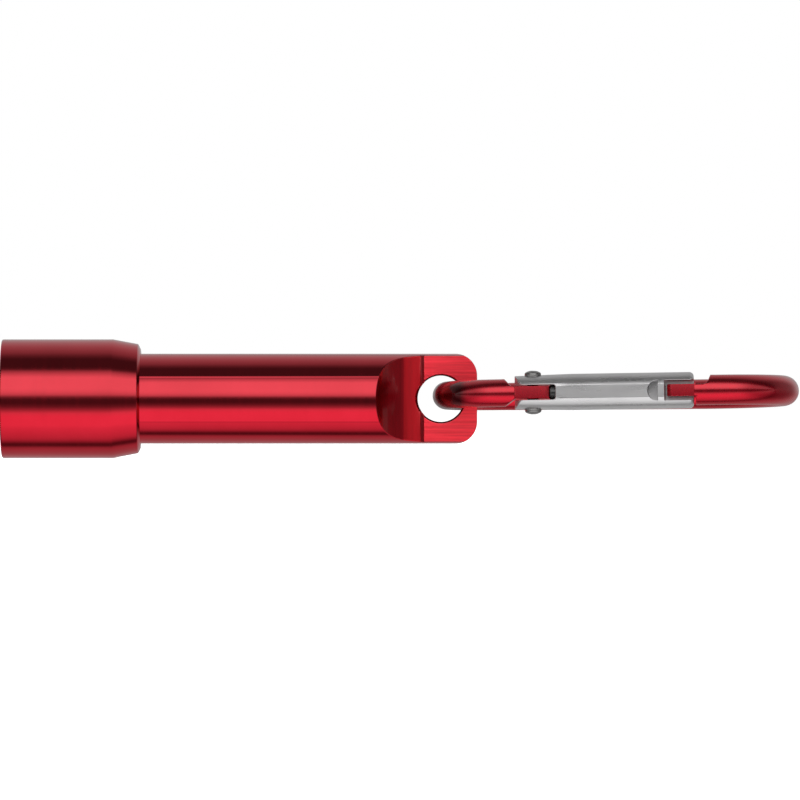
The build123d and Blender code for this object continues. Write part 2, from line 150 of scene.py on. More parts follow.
def new_finish(name):
    """A procedural material, with its node tree and its surface shader."""
    finish = bpy.data.materials.new(name)
    finish.use_nodes = True
    return finish, finish.node_tree, finish.node_tree.nodes["Principled BSDF"]


def grain(tree, stretch, scale, detail=4.0):
    """Noise in object space, drawn out along an axis by a small stretch value."""
    place = tree.nodes.new("ShaderNodeTexCoord")
    drawn = tree.nodes.new("ShaderNodeMapping")
    drawn.inputs["Scale"].default_value = stretch
    speckle = tree.nodes.new("ShaderNodeTexNoise")
    speckle.inputs["Scale"].default_value = scale
    speckle.inputs["Detail"].default_value = detail
    tree.links.new(place.outputs["Object"], drawn.inputs["Vector"])
    tree.links.new(drawn.outputs["Vector"], speckle.inputs["Vector"])
    return speckle.outputs["Fac"]


def span(tree, value, low, high):
    """Maps the middle of a noise value to the range low to high."""
    ranged = tree.nodes.new("ShaderNodeMapRange")
    ranged.inputs["From Min"].default_value = 0.3
    ranged.inputs["From Max"].default_value = 0.7
    ranged.inputs["To Min"].default_value = low
    ranged.inputs["To Max"].default_value = high
    tree.links.new(value, ranged.inputs["Value"])
    return ranged.outputs["Result"]


def relief(tree, shader, value, depth, strength=0.35):
    """Fine surface relief from a noise value, its depth in metres."""
    bump = tree.nodes.new("ShaderNodeBump")
    bump.inputs["Strength"].default_value = strength
    bump.inputs["Distance"].default_value = depth
    tree.links.new(value, bump.inputs["Height"])
    tree.links.new(bump.outputs["Normal"], shader.inputs["Normal"])


def tinted(tree, value, dark, pale):
    """A colour that drifts between two tints."""
    ramp = tree.nodes.new("ShaderNodeValToRGB")
    ramp.color_ramp.elements[0].position = 0.3
    ramp.color_ramp.elements[0].color = (*dark, 1)
    ramp.color_ramp.elements[1].position = 0.7
    ramp.color_ramp.elements[1].color = (*pale, 1)
    tree.links.new(value, ramp.inputs["Fac"])
    return ramp.outputs["Color"]


def along_x(tree, low, high):
    """A value that runs from 0 to 1 as x goes from low to high, in metres."""
    place = tree.nodes.new("ShaderNodeTexCoord")
    apart = tree.nodes.new("ShaderNodeSeparateXYZ")
    ranged = tree.nodes.new("ShaderNodeMapRange")
    ranged.inputs["From Min"].default_value = low
    ranged.inputs["From Max"].default_value = high
    tree.links.new(place.outputs["Object"], apart.inputs["Vector"])
    tree.links.new(apart.outputs["X"], ranged.inputs["Value"])
    return ranged.outputs["Result"]


def worked(name, dark, pale, gloss, stretch=(1, 1, 1), scale=1500, depth=0.000001, metal=1.0):
    """A finish whose tint drifts between two shades, with a fine grain that varies its
    gloss and stands in low relief."""
    finish, tree, shader = new_finish(name)
    shader.inputs["Metallic"].default_value = metal
    tone = tinted(tree, grain(tree, (1, 1, 1), 120), dark, pale)
    tree.links.new(tone, shader.inputs["Base Color"])
    streaks = grain(tree, stretch, scale, 3.0)
    tree.links.new(span(tree, streaks, *gloss), shader.inputs["Roughness"])
    relief(tree, shader, streaks, depth)
    return finish, shader


def anodised(name, gloss, stretch, scale, depth, dark=(0.74, 0.011, 0.032), pale=(0.82, 0.016, 0.042)):
    """Dyed and sealed aluminium: a red metal under a thin clear oxide skin. The skin's gloss is a painted
    sheen, strong on sides that face up and weak on sides that face down."""
    finish, shader = worked(name, dark, pale, gloss, stretch, scale, depth)
    tree = finish.node_tree
    shader.inputs["Coat Roughness"].default_value = 0.08
    shader.inputs["Coat IOR"].default_value = 1.62
    # Painted sheen: the clear coat's weight follows which way a face points, highest on faces that look
    # up.
    facing = tree.nodes.new("ShaderNodeTexCoord")
    apart = tree.nodes.new("ShaderNodeSeparateXYZ")
    painted_upward_sheen = tree.nodes.new("ShaderNodeMapRange")
    painted_upward_sheen.inputs["From Min"].default_value = -0.3
    painted_upward_sheen.inputs["From Max"].default_value = 0.05
    painted_upward_sheen.inputs["To Min"].default_value = 0.15
    painted_upward_sheen.inputs["To Max"].default_value = 0.85
    tree.links.new(facing.outputs["Normal"], apart.inputs["Vector"])
    tree.links.new(apart.outputs["Z"], painted_upward_sheen.inputs["Value"])
    tree.links.new(painted_upward_sheen.outputs["Result"], shader.inputs["Coat Weight"])
    return finish, shader


red_turned = anodised("red_anodised_turned", (0.08, 0.15), (1, 0.02, 0.02), 1500, 0.0000012)[0]

head_form = turned(
    rounded(
        [
            (0, optics_bore_radius, 0.15),
            (0, head_radius, 0.3),
            (head_cylinder_end, head_radius, 0.2),
            (head_taper_end, head_taper_radius, 0.2),
            (head_length, head_back_radius, 0.12),
            (head_length, skirt_bore_radius, 0.12),
            (thread_bore_end, skirt_bore_radius),
            (thread_bore_end, thread_bore_radius),
            (optics_shoulder, thread_bore_radius),
            (optics_shoulder, optics_bore_radius),
        ]
    )
)
piece("head_shell_turned", head_form, light, "head", red_turned, "head_shell")

# ---------------------------------------------------------------- window and its ring
# A clear window lies on a rubber ring in the front of the head, under a red retaining
# ring with two notches for a pin spanner.
ring_front = 0.3
ring_back = 1.5
ring_inner_radius = 7.5
notch_width = 1.0
notch_depth = 0.5
window_back = 2.7
window_radius = 8.25
seal_radius = 0.3


def prism(outline, low, high, flat="xy"):
    """A straight form: an outline in the xy, xz or yz plane between two levels."""
    form = bmesh.new()
    ends = []
    for level in (low, high):
        if flat == "xy":
            corners = [(p[0], p[1], level) for p in outline]
        elif flat == "xz":
            corners = [(p[0], level, p[1]) for p in outline]
        else:
            corners = [(level, p[0], p[1]) for p in outline]
        ends.append([form.verts.new(corner) for corner in corners])
        form.faces.new(ends[-1])
    for i in range(len(outline)):
        j = (i + 1) % len(outline)
        form.faces.new((ends[0][i], ends[0][j], ends[1][j], ends[1][i]))
    bmesh.ops.recalc_face_normals(form, faces=form.faces)
    return form


def rectangle(x0, x1, y0, y1):
    """The corners of an upright rectangle."""
    return [(x0, y0), (x1, y0), (x1, y1), (x0, y1)]


def skinned(form, rings):
    """Faces between closed rings of corners; the first and last rings are closed too."""
    sides = len(rings[0])
    for ring, after in zip(rings, rings[1:]):
        for i in range(sides):
            j = (i + 1) % sides
            form.faces.new((ring[i], ring[j], after[j], after[i]))
    form.faces.new(rings[0])
    form.faces.new(rings[-1])
    bmesh.ops.recalc_face_normals(form, faces=form.faces)
    return form


def carved(form, tools, operation="DIFFERENCE"):
    """The form after each tool form in turn has been cut from it, or joined to it."""
    for tool in tools:
        workpieces = []
        for shape in (form, tool):
            mesh = bpy.data.meshes.new("workpiece")
            shape.to_mesh(mesh)
            shape.free()
            workpieces.append(bpy.data.objects.new("workpiece", mesh))
            bpy.context.scene.collection.objects.link(workpieces[-1])
        cut = workpieces[0].modifiers.new("cut", "BOOLEAN")
        cut.operation = operation
        cut.solver = "EXACT"
        cut.object = workpieces[1]
        form = bmesh.new()
        form.from_object(workpieces[0], bpy.context.evaluated_depsgraph_get())
        for used in workpieces:
            bpy.data.meshes.remove(used.data)
        bmesh.ops.remove_doubles(form, verts=form.verts, dist=0.02)
        bmesh.ops.dissolve_degenerate(form, edges=form.edges, dist=0.02)
    return form


ring_form = turned(
    rounded(
        [
            (ring_front, ring_inner_radius, 0.1),
            (ring_front, optics_bore_radius, 0.05),
            (ring_back, optics_bore_radius),
            (ring_back, ring_inner_radius, 0.1),
        ]
    )
)
notch_reach = ring_inner_radius + notch_width / 2
notches = [
    prism(
        rectangle(
            side * notch_reach,
            side * (notch_reach - 2 * notch_width),
            -notch_width / 2,
            notch_width / 2,
        ),
        ring_front - notch_depth,
        ring_front + notch_depth,
        "yz",
    )
    for side in (1, -1)
]
ring_form = carved(ring_form, notches)
piece("lens_ring_notched", ring_form, light, "head", red_turned, "lens_ring")

clear_glass, glass_shader = worked(
    "window_glass", (0.93, 0.96, 0.96), (0.96, 0.98, 0.98), (0.0, 0.015), scale=400, depth=0, metal=0
)
glass_shader.inputs["Transmission Weight"].default_value = 1.0
glass_shader.inputs["IOR"].default_value = 1.5
window_form = turned(
    rounded(
        [
            (ring_back, 0),
            (ring_back, window_radius, 0.12),
            (window_back, window_radius, 0.12),
            (window_back, 0),
        ]
    )
)
piece("front_window", window_form, light, "head", clear_glass, "front_lens")

black_rubber = worked(
    "seal_rubber", (0.012, 0.012, 0.012), (0.02, 0.02, 0.021), (0.4, 0.6),
    scale=2500, depth=0.000004, metal=0
)[0]


def round_section(distance, radius, section_radius, steps=24):
    """The outline of a round cross-section for a turned ring."""
    angles = [2 * math.pi * step / steps for step in range(steps)]
    return [
        (distance + section_radius * math.cos(a), radius + section_radius * math.sin(a)) for a in angles
    ]


seal_form = turned(round_section(window_back + seal_radius, window_radius - seal_radius, seal_radius))
piece("window_seal", seal_form, light, "head", black_rubber, "lens_seal")

# ---------------------------------------------------------------- reflector and LED
# A plated parabolic cup gathers the light of one square LED, whose chip sits under a
# clear silicone dome in the cup's neck.
cup_front = 3.3
cup_back = 7.9
cup_focal_length = 2.6
cup_vertex = 8.37
cup_neck_radius = 2.6
cup_foot_radius = 4.4
cup_rim_width = 1.0
led_front = 7.35
dome_radius = 1.25
phosphor_half_width = 1.15

mirror = worked(
    "mirror_plating", (0.86, 0.86, 0.87), (0.9, 0.9, 0.9), (0.02, 0.06), scale=500, depth=0.000001
)[0]
cup_neck_start = cup_vertex - cup_neck_radius**2 / (4 * cup_focal_length)
bowl = []
for step in range(25):
    distance = cup_front + (cup_neck_start - cup_front) * step / 24
    bowl.append((distance, math.sqrt(4 * cup_focal_length * (cup_vertex - distance))))
cup_form = turned(
    bowl
    + [
        (cup_back, cup_neck_radius),
        (cup_back, cup_foot_radius),
        (cup_front + cup_rim_width, window_radius),
        (cup_front, window_radius),
    ]
)
piece("reflector_cup", cup_form, light, "head", mirror, "reflector", edge=0.06)

silicone, silicone_shader = worked(
    "led_silicone", (0.97, 0.96, 0.9), (0.99, 0.98, 0.94), (0.02, 0.06), scale=900, depth=0, metal=0
)
silicone_shader.inputs["Transmission Weight"].default_value = 1.0
silicone_shader.inputs["IOR"].default_value = 1.42
quarter = [math.pi / 2 * step / 16 for step in range(17)]
dome_form = turned(
    [(led_front - dome_radius * math.cos(a), dome_radius * math.sin(a)) for a in quarter]
    + [(led_front, 0)],
    segments=64,
)
piece("led_silicone_dome", dome_form, light, "head", silicone, "led_dome")

led_finish, led_tree, led_shader = new_finish("led_phosphor")
led_shader.inputs["Roughness"].default_value = 0.5
led_place = led_tree.nodes.new("ShaderNodeTexCoord")
led_centre = led_tree.nodes.new("ShaderNodeVectorMath")
led_centre.operation = "SUBTRACT"
led_centre.inputs[1].default_value = light_front
led_size = led_tree.nodes.new("ShaderNodeVectorMath")
led_size.operation = "ABSOLUTE"
led_apart = led_tree.nodes.new("ShaderNodeSeparateXYZ")
led_furthest = led_tree.nodes.new("ShaderNodeMath")
led_furthest.operation = "MAXIMUM"
led_border = led_tree.nodes.new("ShaderNodeMath")
led_border.operation = "GREATER_THAN"
led_border.inputs[1].default_value = phosphor_half_width * MM
led_mix = led_tree.nodes.new("ShaderNodeMix")
led_mix.data_type = "RGBA"
led_mix.inputs["B"].default_value = (0.82, 0.81, 0.76, 1)
led_tree.links.new(led_place.outputs["Object"], led_centre.inputs[0])
led_tree.links.new(led_centre.outputs["Vector"], led_size.inputs[0])
led_tree.links.new(led_size.outputs["Vector"], led_apart.inputs["Vector"])
led_tree.links.new(led_apart.outputs["Y"], led_furthest.inputs[0])
led_tree.links.new(led_apart.outputs["Z"], led_furthest.inputs[1])
led_tree.links.new(led_furthest.outputs["Value"], led_border.inputs[0])
led_tree.links.new(led_border.outputs["Value"], led_mix.inputs["Factor"])
led_yellow = tinted(led_tree, grain(led_tree, (1, 1, 1), 4000), (0.75, 0.55, 0.06), (0.9, 0.72, 0.12))
led_tree.links.new(led_yellow, led_mix.inputs["A"])
led_tree.links.new(led_mix.outputs["Result"], led_shader.inputs["Base Color"])


def carried(node, finish):
    """Gives an engineering node its finish and shows it as it is."""
    kept = frame["nodes"][node]
    kept.data.materials.clear()
    kept.data.materials.append(finish)


carried("led_package", led_finish)

# ---------------------------------------------------------------- boards and carrier
# Behind the reflector a white metal-core board carries the LED. It sits on a turned brass
# carrier, with the green driver board, its parts and the cell's contact behind.
white_mask = worked(
    "white_solder_mask", (0.78, 0.78, 0.76), (0.84, 0.84, 0.82), (0.35, 0.5),
    scale=900, depth=0.000002, metal=0
)[0]
green_mask = worked(
    "green_solder_mask", (0.015, 0.13, 0.04), (0.02, 0.19, 0.06), (0.25, 0.45),
    scale=700, depth=0.000006, metal=0
)[0]
black_resin = worked(
    "black_resin", (0.016, 0.016, 0.017), (0.03, 0.03, 0.03), (0.45, 0.65),
    scale=3000, depth=0.000004, metal=0
)[0]
brass = worked(
    "turned_brass", (0.72, 0.47, 0.18), (0.8, 0.56, 0.24), (0.15, 0.3), (1, 0.03, 0.03), 1800, 0.000002
)[0]
red_sleeve = worked(
    "wire_insulation", (0.42, 0.015, 0.012), (0.5, 0.025, 0.02), (0.3, 0.42),
    scale=1500, depth=0.000002, metal=0
)[0]
carried("led_board", white_mask)
carried("driver_board", green_mask)
carried("driver_inductor", black_resin)
carried("driver_chips", black_resin)
carried("insulator_ring", black_resin)
carried("led_pill", brass)
carried("contact_button", brass)
carried("lead_wires", red_sleeve)

# ---------------------------------------------------------------- battery
# A plain AAA cell: a nickel-plated steel can in a shrunk plastic sleeve with a pale band
# at its positive end, and a nylon ring round the raised nub.
cell_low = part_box("battery_label")[0]
band_width = 0.007

nickel = worked(
    "nickel_plated_steel", (0.5, 0.5, 0.49), (0.6, 0.6, 0.58), (0.18, 0.32), (0.05, 1, 1), 1200, 0.000002
)[0]
nylon = worked(
    "seal_nylon", (0.72, 0.72, 0.66), (0.8, 0.8, 0.75), (0.4, 0.55), scale=1200, depth=0.000003, metal=0
)[0]
sleeve_finish, sleeve_tree, sleeve_shader = new_finish("cell_sleeve_two_tone")
sleeve_place = sleeve_tree.nodes.new("ShaderNodeTexCoord")
sleeve_apart = sleeve_tree.nodes.new("ShaderNodeSeparateXYZ")
sleeve_band = sleeve_tree.nodes.new("ShaderNodeMath")
sleeve_band.operation = "LESS_THAN"
sleeve_band.inputs[1].default_value = cell_low.x + band_width
sleeve_mix = sleeve_tree.nodes.new("ShaderNodeMix")
sleeve_mix.data_type = "RGBA"
sleeve_mix.inputs["B"].default_value = (0.62, 0.6, 0.55, 1)
sleeve_tree.links.new(sleeve_place.outputs["Object"], sleeve_apart.inputs["Vector"])
sleeve_tree.links.new(sleeve_apart.outputs["X"], sleeve_band.inputs[0])
sleeve_tree.links.new(sleeve_band.outputs["Value"], sleeve_mix.inputs["Factor"])
sleeve_wear = grain(sleeve_tree, (0.2, 1, 1), 600)
sleeve_tree.links.new(
    tinted(sleeve_tree, sleeve_wear, (0.03, 0.04, 0.06), (0.045, 0.06, 0.085)), sleeve_mix.inputs["A"]
)
sleeve_tree.links.new(sleeve_mix.outputs["Result"], sleeve_shader.inputs["Base Color"])
sleeve_tree.links.new(span(sleeve_tree, sleeve_wear, 0.22, 0.34), sleeve_shader.inputs["Roughness"])
relief(sleeve_tree, sleeve_shader, sleeve_wear, 0.000003)
carried("battery_can", nickel)
carried("battery_positive_cap", nickel)
carried("battery_seal", nylon)
carried("battery_label", sleeve_finish)

# ---------------------------------------------------------------- barrel
# One aluminium tube in the same red: a threaded neck in front, a plain grip, and a tail
# milled with a round cutter to a flat tongue that is drilled for the carabiner.
neck_front = 12.0
neck_radius = 6.2
neck_shoulder = 18.6
groove_start = 19.3
groove_end = 20.7
groove_radius = 6.5
barrel_radius = 7.2
barrel_end = 76.0
cell_bore_radius = 5.5
cell_bore_floor = 60.0
thread_start = 12.9
thread_pitch = 0.8
thread_turns = 5
thread_section = [(-0.34, -0.1), (0.34, -0.1), (0.08, 0.43), (-0.08, 0.43)]
cutter_radius = 8.4
flat_start = 67.5
flat_level = 2.25
relief_level = 2.05
relief_width = 0.5
tail_corner_radius = 3.5
hole_distance = 70.2
hole_radius = 3.7
countersink = 0.25
# Where the run-in's band of painted shade ends, in mm.
painted_shade_band_end = 64.4
clear_of_all = 12.0


def arc(centre, radius, start, end, steps):
    """Points along a circle's arc between two angles in degrees."""
    angles = [math.radians(start + (end - start) * step / steps) for step in range(steps + 1)]
    return [(centre[0] + radius * math.cos(a), centre[1] + radius * math.sin(a)) for a in angles]


barrel_form = turned(
    rounded(
        [
            (neck_front, cell_bore_radius, 0.1),
            (neck_front, neck_radius, 0.2),
            (neck_shoulder, neck_radius, 0.1),
            (neck_shoulder, barrel_radius, 0.2),
            (groove_start, barrel_radius, 0.1),
            (groove_start, groove_radius, 0.1),
            (groove_end, groove_radius, 0.1),
            (groove_end, barrel_radius, 0.1),
            (barrel_end, barrel_radius),
            (barrel_end, 0),
            (cell_bore_floor, 0),
            (cell_bore_floor, cell_bore_radius, 0.4),
        ]
    ),
    segments=240,
)
ridge_form = bmesh.new()
ridge_rings = []
thread_steps = 48 * thread_turns
for step in range(thread_steps + 1):
    angle = 2 * math.pi * thread_turns * step / thread_steps
    run_out = min(1.0, min(step, thread_steps - step) / 12)
    ring = []
    for along, height in thread_section:
        radius = neck_radius + (height * run_out if height > 0 else height)
        x = thread_start + thread_pitch * angle / (2 * math.pi) + along
        ring.append(ridge_form.verts.new((x, radius * math.cos(angle), radius * math.sin(angle))))
    ridge_rings.append(ring)
barrel_form = carved(barrel_form, [skinned(ridge_form, ridge_rings)], "UNION")

tail_tools = []
run_in = math.degrees(math.asin((flat_level + cutter_radius - barrel_radius - 1) / cutter_radius))
for facing in (1, -1):
    arc_centre = (flat_start, flat_level + cutter_radius)
    sweep = arc(arc_centre, cutter_radius, 180 + run_in, 270, 64)
    cut = [point for point in sweep if point[0] < flat_start - relief_width]
    relief_edge = flat_level + cutter_radius - math.sqrt(cutter_radius**2 - relief_width**2)
    cut += [
        (flat_start - relief_width, relief_edge),
        (flat_start - relief_width, relief_level),
        (flat_start, relief_level),
        (flat_start, flat_level),
        (barrel_end + 1, flat_level),
        (barrel_end + 1, cut[0][1]),
    ]
    tail_tools.append(prism([(x, facing * y) for x, y in cut], -clear_of_all, clear_of_all))
    corner_centre = (barrel_end - tail_corner_radius, barrel_radius - tail_corner_radius)
    corner = arc(corner_centre, tail_corner_radius, 90, 0, 24)
    corner += [
        (barrel_end + 1, corner[-1][1]),
        (barrel_end + 1, barrel_radius + 1),
        (corner[0][0], barrel_radius + 1),
    ]
    tail_tools.append(prism([(x, facing * z) for x, z in corner], -clear_of_all, clear_of_all, "xz"))
edge_level = flat_level - countersink
drill = turned(
    [
        (-clear_of_all, 0),
        (-clear_of_all, hole_radius + 2 * countersink),
        (-edge_level - 2 * countersink, hole_radius + 2 * countersink),
        (-edge_level, hole_radius),
        (edge_level, hole_radius),
        (edge_level + 2 * countersink, hole_radius + 2 * countersink),
        (clear_of_all, hole_radius + 2 * countersink),
        (clear_of_all, 0),
    ],
    segments=128,
)
drill_place = Matrix.Translation((hole_distance, 0, 0)) @ Matrix.Rotation(math.pi / 2, 4, "Z")
bmesh.ops.transform(drill, matrix=drill_place, verts=drill.verts)
barrel_form = carved(barrel_form, tail_tools + [drill])

red_milled, milled_shader = anodised("red_anodised_milled", (0.36, 0.5), (0.04, 1, 1), 1400, 0.000004)
milled_shader.inputs["Metallic"].default_value = 0.4
milled_tree = red_milled.node_tree
milled_lines = grain(milled_tree, (0.03, 1, 1), 3200, 2.0)
milled_tone = tinted(milled_tree, milled_lines, (0.7, 0.013, 0.028), (1.0, 0.026, 0.05))
milled_tree.links.new(milled_tone, milled_shader.inputs["Base Color"])
# The curved run-in's colour carries painted shading along x: a band of painted shade, then a band of
# painted light, then painted shade at the groove.
red_run_in, run_in_shader = anodised("red_anodised_run_in_painted_shade", (0.3, 0.42), (1, 1, 0.04), 1400, 0.000003)
run_in_tree = red_run_in.node_tree
bands_start = light_front.x + (painted_shade_band_end - 2) * MM
run_in_painted_shading = run_in_tree.nodes.new("ShaderNodeValToRGB")
# Painted shade, painted light and painted shade at the groove, in that order along x.
run_in_painted_shade, run_in_painted_light, groove_painted_shade = (0.55, 0.01, 0.022, 1), (1.0, 0.018, 0.033, 1), (0.35, 0.006, 0.014, 1)
run_in_stops = run_in_painted_shading.color_ramp.elements
run_in_stops[0].position = 0.34
run_in_stops[0].color = run_in_painted_shade
run_in_stops[1].position = 0.4
run_in_stops[1].color = run_in_painted_light
run_in_stops.new(0.88).color = run_in_painted_light
run_in_stops.new(0.93).color = groove_painted_shade
run_in_place = along_x(run_in_tree, bands_start, light_front.x + flat_start * MM)
run_in_tree.links.new(run_in_place, run_in_painted_shading.inputs["Fac"])
run_in_tree.links.new(run_in_painted_shading.outputs["Color"], run_in_shader.inputs["Base Color"])
barrel = piece(
    "barrel_turned", barrel_form, light, "barrel", red_turned, "barrel", edge=0.1
)
barrel.data.materials.append(red_milled)
barrel.data.materials.append(red_run_in)
milled_from = light_front.x + (flat_start - 0.05) * MM
for face in barrel.data.polygons:
    if face.center.x > milled_from:
        if abs(face.normal.y) > 0.99:
            face.material_index = 1
    elif face.center.x > milled_from - cutter_radius * MM:
        if abs(face.normal.z) < 0.02 and abs(face.center.y) < (barrel_radius - 0.03) * MM:
            face.material_index = 2

neck_seal_radius = 0.38
groove_middle = (groove_start + groove_end) / 2
ring_groove = round_section(groove_middle, groove_radius + neck_seal_radius, neck_seal_radius)
piece("neck_seal", turned(ring_groove), light, "barrel", black_rubber, "neck_oring")

spring_wire = worked(
    "drawn_spring_wire", (0.1, 0.1, 0.1), (0.17, 0.17, 0.17), (0.2, 0.34), (1, 1, 1), 2600, 0.000002
)[0]
tail_coil_radius = 3.2
tail_wire_radius = 0.25
tail_coil_turns = 2.5
wire_sides = 12
coil_steps = 48
tail_coil_front = (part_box("tail_spring")[0].x - light_front.x) / MM


def spring(name, sizes, ends, place, stands_for):
    """A round wire coil about the x axis, laid between two ends along that axis. The sizes are its coil
    radius, wire radius and turns."""
    coil_radius, wire_radius, turns = sizes
    first = ends[0] + wire_radius
    last = ends[1] - wire_radius
    form = bmesh.new()
    rings = []
    steps = int(turns * coil_steps)
    for step in range(steps + 1):
        share = step / steps
        angle = 2 * math.pi * turns * share
        outward = Vector((0, math.cos(angle), math.sin(angle)))
        centre = Vector((first + (last - first) * share, 0, 0)) + outward * coil_radius
        ring = []
        for k in range(wire_sides):
            turn = 2 * math.pi * k / wire_sides
            spoke = outward * math.cos(turn) + Vector((math.sin(turn), 0, 0))
            ring.append(form.verts.new(centre + spoke * wire_radius))
        rings.append(ring)
    bmesh.ops.transform(skinned(form, rings), matrix=place, verts=form.verts)
    made = placed(name, form, spring_wire)
    made.data.shade_smooth()
    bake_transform(made)
    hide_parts(stands_for)


tail_sizes = (tail_coil_radius, tail_wire_radius, tail_coil_turns)
tail_ends = (tail_coil_front, cell_bore_floor)
spring("tail_coil", tail_sizes, tail_ends, light, "tail_spring")

# ---------------------------------------------------------------- carabiner body
# Round aluminium rod in the same red, bent into a pear-shaped hook through the tail hole.
# Both ends are milled to flat tongues: one carries the gate, the other latches it.
joints = {joint["name"]: joint for joint in frame["joints"]}
rivet_distance = 4.54
leg_angle = math.radians(3.146)
leg_length = 32.75
hinge_bow_radius = 9.7
hinge_rod_radius = 2.2
nose_bow_radius = 11.5
nose_rod_radius = 2.4
nose_bow_centre = 42.5
tongue_half_thickness = 1.0
tongue_half_width = 1.9
tongue_taper_start = 5.7
tongue_tip = 7.15
tongue_tip_half_width = 1.2
tongue_past_tip_half_width = 0.72
hinge_upper_shoulder = 1.1
hinge_lower_shoulder = 1.7
nose_half_thickness = 0.95
nose_tip = 25.85
nose_shoulder = 30.45
nose_upper_shoulder = 31.7
nose_inner = 1.3
nose_outer = 2.2
rivet_hole_radius = 0.95
# Where the painted shade on the bend in the tail hole ends, in metres along x.
painted_shade_bend_end = 0.0115
beyond = 4

leg_up = Vector(joints["gate_swing"]["axis"]).normalized()
leg_along = Vector(joints["plunger_slide"]["axis"]).normalized()
leg_start = Vector(joints["gate_swing"]["pos_m"]) - leg_along * rivet_distance * MM
leg = Matrix((leg_along, leg_up.cross(leg_along), leg_up)).transposed().to_4x4()
leg = Matrix.Translation(leg_start) @ leg @ Matrix.Scale(MM, 4)
tangent = Vector((-math.sin(leg_angle), math.cos(leg_angle)))
bow_to_leg = Matrix.Rotation(leg_angle, 4, "Z") @ Matrix.Translation(
    (-hinge_bow_radius * (1 + tangent.x), hinge_bow_radius * tangent.y, 0)
)


def rod(path, segments=96):
    """A round rod through (centre, heading angle, radius) stations in the xy plane."""
    form = bmesh.new()
    rings = []
    for centre, heading, radius in path:
        across = Vector((-math.sin(heading), math.cos(heading), 0))
        ring = []
        for k in range(segments):
            angle = 2 * math.pi * k / segments
            spoke = across * math.cos(angle) + Vector((0, 0, math.sin(angle)))
            ring.append(form.verts.new(Vector((*centre, 0)) + spoke * radius))
        rings.append(ring)
    return skinned(form, rings)


rod_path = []
heading = Vector((math.cos(leg_angle), -math.sin(leg_angle)))
hinge_end = Vector((hinge_bow_radius * (1 + tangent.x), -hinge_bow_radius * tangent.y))
nose_end = Vector((nose_bow_centre + nose_bow_radius * tangent.x, -nose_bow_radius * tangent.y))
for distance in (tongue_tip, 2.0, 1.0):
    rod_path.append((hinge_end + heading * distance, math.pi - leg_angle, hinge_rod_radius))
for step in range(61):
    turn = -math.pi / 2 - leg_angle - (math.pi - 2 * leg_angle) * step / 60
    centre = (hinge_bow_radius * (1 + math.cos(turn)), hinge_bow_radius * math.sin(turn))
    rod_path.append((centre, turn - math.pi / 2, hinge_rod_radius))
for step in range(1, 12):
    share = step / 12
    centre = Vector((hinge_end.x, -hinge_end.y)).lerp(Vector((nose_end.x, -nose_end.y)), share)
    swell = hinge_rod_radius + (nose_rod_radius - hinge_rod_radius) * share
    rod_path.append((centre, leg_angle, swell))
for step in range(69):
    turn = math.pi / 2 + leg_angle - (math.pi + 2 * leg_angle) * step / 68
    centre = (nose_bow_centre + nose_bow_radius * math.cos(turn), nose_bow_radius * math.sin(turn))
    rod_path.append((centre, turn - math.pi / 2, nose_rod_radius))
for distance in (leg_length - 1, leg_length - 2, nose_tip):
    rod_path.append((nose_end - heading * (leg_length - distance), math.pi - leg_angle, nose_rod_radius))
clip_form = rod(rod_path)
bmesh.ops.transform(clip_form, matrix=bow_to_leg, verts=clip_form.verts)

clip_tools = []
# The hinge end: a sloping shoulder above and below its tongue, which narrows to its tip.
past_tip = tongue_tip + 1
for facing, slope_end in ((1, hinge_upper_shoulder), (-1, hinge_lower_shoulder)):
    slab = [
        (-0.02, facing * (hinge_rod_radius + 0.05)),
        (slope_end, facing * tongue_half_thickness),
        (past_tip, facing * tongue_half_thickness),
        (past_tip, facing * beyond),
        (-0.02, facing * beyond),
    ]
    side = [
        (hinge_lower_shoulder, facing * beyond),
        (hinge_lower_shoulder, facing * tongue_half_width),
        (tongue_taper_start, facing * tongue_half_width),
        (tongue_tip, facing * tongue_tip_half_width),
        (past_tip, facing * tongue_past_tip_half_width),
        (past_tip, facing * beyond),
    ]
    clip_tools.append(prism(slab, -beyond, beyond, "xz"))
    clip_tools.append(prism(side, -beyond, beyond))
# The nose end: a curved shoulder above, a square one below, and a flat on each side.
before_nose = nose_tip - 1
upper_nose = [
    (before_nose, nose_half_thickness),
    (nose_upper_shoulder, nose_half_thickness),
    (32.0, 1.05),
    (32.4, 1.55),
    (leg_length, 2.5),
    (leg_length, beyond),
    (before_nose, beyond),
]
lower_nose = [
    (before_nose, -nose_half_thickness),
    (nose_shoulder - 0.25, -nose_half_thickness),
    (nose_shoulder, -1.35),
    (nose_shoulder - 0.1, -beyond),
    (before_nose, -beyond),
]
clip_tools.append(prism(upper_nose, -beyond, beyond, "xz"))
clip_tools.append(prism(lower_nose, -beyond, beyond, "xz"))
side_end = nose_shoulder - 0.33
inner_side = [
    (before_nose, beyond),
    (before_nose, 0.5),
    (nose_tip, nose_inner - 0.4),
    (nose_tip + 0.4, nose_inner),
    (side_end, nose_inner),
    (side_end, beyond),
]
outer_side = [
    (before_nose, -beyond),
    (before_nose, -0.6),
    (nose_tip, 0.6 - nose_outer),
    (nose_tip + 0.6, -nose_outer),
    (side_end, -nose_outer),
    (side_end, -beyond),
]
clip_tools.append(prism(inner_side, -beyond, beyond))
clip_tools.append(prism(outer_side, -beyond, beyond))
clip_tools.append(prism(arc((rivet_distance, 0), rivet_hole_radius, 0, 352.5, 47), -beyond, beyond))
clip_form = carved(clip_form, clip_tools)
red_rod, rod_shader = anodised("red_anodised_rod", (0.24, 0.29), (1, 1, 1), 1800, 0.0000006)
